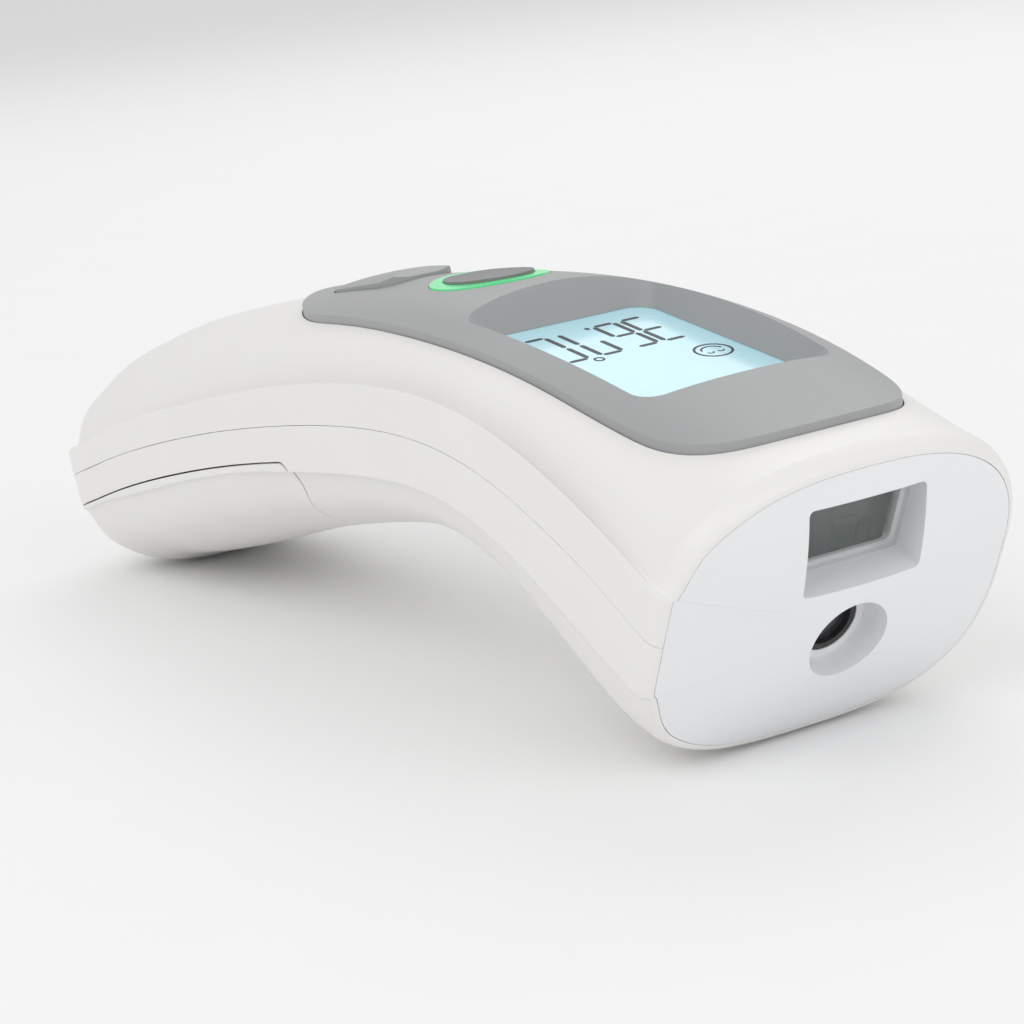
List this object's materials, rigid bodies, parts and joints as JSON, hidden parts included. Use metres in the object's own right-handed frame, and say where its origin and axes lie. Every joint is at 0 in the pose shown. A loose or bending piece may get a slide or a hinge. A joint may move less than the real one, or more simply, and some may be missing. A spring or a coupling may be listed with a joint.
{
  "type": "infrared forehead thermometer",
  "caption": "Palm-sized infrared thermometer with a bent white body, grey top panel, sunk display, start and memory buttons and a sliding battery cover.",
  "frame": {"origin": "middle of the object's length and width, on the surface it lies on", "axes": "+X out of the measuring end, +Y to the left side seen from the handle, +Z on the display side"},
  "size_m": [0.1558, 0.0428, 0.0424],
  "materials": {
    "shell_white": "satin",
    "cap_white": "satin",
    "panel_grey": "satin",
    "lcd_face": "gloss",
    "black_foam": "matte",
    "lcd_glass": "gloss",
    "diffuser": "gloss",
    "frame_white": "matte",
    "zebra_rubber": "matte",
    "ring_green": "gloss",
    "led": "gloss",
    "button_grey": "satin",
    "plunger_black": "matte",
    "switch_black": "matte",
    "board_green": "satin",
    "chip_black": "matte",
    "buzzer_black": "matte",
    "window_clear": "gloss",
    "sensor_black": "gloss",
    "ring_black": "gloss",
    "filter_dark": "gloss",
    "can_metal": "satin",
    "holder_black": "matte",
    "screw_steel": "satin",
    "flex_amber": "satin",
    "connector_white": "matte",
    "tray_white": "matte",
    "cell_can": "satin",
    "spring_steel": "satin",
    "lead_red": "satin",
    "lead_black": "satin"
  },
  "bodies": {
    "housing": {"upper_housing": "shell_white", "lower_housing": "shell_white", "front_cap": "cap_white", "top_panel": "panel_grey", "display_window": "lcd_face", "display_gasket": "black_foam", "lcd_glass": "lcd_glass", "lcd_backlight": "diffuser", "lcd_frame": "frame_white", "lcd_connector": "zebra_rubber", "light_ring": "ring_green", "ring_leds": "led", "start_switch": "switch_black", "memory_switch": "switch_black", "main_board": "board_green", "controller_chip": "chip_black", "buzzer": "buzzer_black", "distance_window": "window_clear", "distance_sensor": "sensor_black", "lens_ring": "ring_black", "ir_filter": "filter_dark", "ir_sensor": "can_metal", "sensor_holder": "holder_black", "sensor_board": "board_green", "sensor_screws": "screw_steel", "sensor_cable": "flex_amber", "cable_connector": "connector_white", "battery_tray": "tray_white", "battery_1": "cell_can", "battery_2": "cell_can", "battery_springs": "spring_steel", "battery_bridge": "spring_steel", "battery_terminals": "spring_steel", "housing_screws": "screw_steel", "board_screws": "screw_steel", "battery_lead_positive": "lead_red", "battery_lead_negative": "lead_black"},
    "start_button": {"start_button": "button_grey", "start_plunger": "plunger_black"},
    "memory_button": {"memory_button": "panel_grey", "memory_plunger": "plunger_black"},
    "battery_cover": {"battery_cover": "shell_white"}
  },
  "joints": [
    {"name": "press_start", "type": "slide", "parent": "housing", "child": "start_button", "axis": [0.061, 0, -0.9981], "range_m": [0, 0.0005], "stiffness_N_per_m": 1500, "springref_m": -0.0003},
    {"name": "press_memory", "type": "slide", "parent": "housing", "child": "memory_button", "axis": [0.1392, 0, -0.9903], "range_m": [0, 0.0005], "stiffness_N_per_m": 1500, "springref_m": -0.0003},
    {"name": "slide_cover", "type": "slide", "parent": "housing", "child": "battery_cover", "axis": [-0.9588, 0, -0.284], "range_m": [0, 0.055]}
  ]
}
